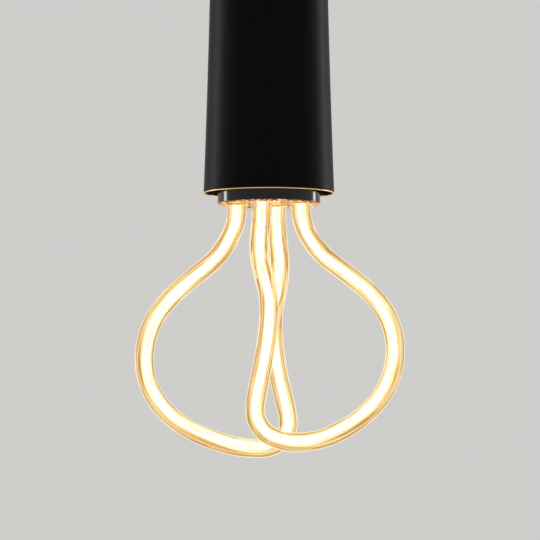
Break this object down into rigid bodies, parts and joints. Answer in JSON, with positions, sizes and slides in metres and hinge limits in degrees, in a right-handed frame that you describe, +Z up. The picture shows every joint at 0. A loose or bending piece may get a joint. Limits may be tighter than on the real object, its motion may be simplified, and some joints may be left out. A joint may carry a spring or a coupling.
{
  "type": "led globe bulb",
  "caption": "Lit lamp of two hand-bent clear tube loops with glowing filaments on a round end plate, its screw cap turned into a black tapered pendant sleeve with a hollow threaded stem.",
  "frame": {"origin": "centre of the upper end face of the threaded stem, from which the light hangs", "axes": "+Z up along the stem, the sleeve and the bulb; the view of the picture looks along +Y, with +X to the right"},
  "size_m": [0.1484, 0.1508, 0.2784],
  "materials": {
    "zinc_steel": "bright zinc plate",
    "holder_black": "moulded matt",
    "washer_rubber": "matt",
    "block_ceramic": "unglazed",
    "contact_brass": "satin",
    "spring_steel": "drawn wire",
    "sleeve_black": "satin powder coat",
    "nut_black": "satin",
    "cap_nickel": "nickel plate",
    "cap_glass": "black glass",
    "housing_black": "high gloss",
    "clear_plate": "polished clear",
    "reflector_gold": "polished",
    "clear_tube": "polished clear",
    "filament_glow": "lit phosphor coat",
    "silicone": "matt",
    "board_green": "solder resist",
    "capacitor_sleeve": "shrink sleeve",
    "inductor_core": "lacquered winding",
    "chip_black": "moulded",
    "film_yellow": "dipped",
    "resistor_blue": "lacquered",
    "wire_red": "smooth",
    "wire_brown": "smooth",
    "wire_blue": "smooth"
  },
  "bodies": {
    "holder": {"stem": "zinc_steel", "grub_screw": "zinc_steel", "holder_cap": "holder_black", "holder_skirt": "holder_black", "sleeve_washer": "washer_rubber", "terminal_block": "block_ceramic", "screw_shell": "contact_brass", "shell_rivets": "contact_brass", "block_screws": "zinc_steel", "line_strip": "contact_brass", "neutral_strip": "contact_brass", "line_terminal": "contact_brass", "neutral_terminal": "contact_brass", "terminal_screws": "zinc_steel", "contact_spring": "spring_steel"},
    "contact": {"contact_plunger": "contact_brass", "plunger_clip": "spring_steel"},
    "sleeve": {"sleeve": "sleeve_black", "ring_nut": "nut_black"},
    "bulb": {"cap_shell": "cap_nickel", "cap_insulator": "cap_glass", "cap_contact": "cap_nickel", "neck": "housing_black", "housing": "housing_black", "end_plate": "clear_plate", "reflector": "reflector_gold", "tube_a": "clear_tube", "tube_b": "clear_tube", "filament_a": "filament_glow", "filament_b": "filament_glow", "tube_grommets": "silicone", "tube_plugs": "silicone", "driver_board": "board_green", "board_screws": "zinc_steel", "bulk_capacitor": "capacitor_sleeve", "inductor": "inductor_core", "bridge_rectifier": "chip_black", "film_capacitor": "film_yellow", "fuse_resistor": "resistor_blue", "driver_ic": "chip_black", "lamp_wires": "wire_red", "line_wire": "wire_brown", "neutral_wire": "wire_blue"}
  },
  "joints": [
    {"name": "sleeve_slide", "type": "slide", "parent": "holder", "child": "sleeve", "axis": [0, 0, 1], "range_m": [0, 0.1]},
    {"name": "contact_travel", "type": "slide", "parent": "holder", "child": "contact", "axis": [0, 0, -1], "range_m": [0, 0.0038], "deforming": ["contact_spring"]},
    {"name": "bulb_turn", "type": "hinge", "parent": "contact", "child": "bulb", "pos_m": [0, 0, 0], "axis": [0, 0, -1], "range_deg": [0, 360]}
  ],
  "couplings": [
    {"joint": "contact_travel", "follows": "bulb_turn", "m_per_rad": 0.00057773}
  ]
}
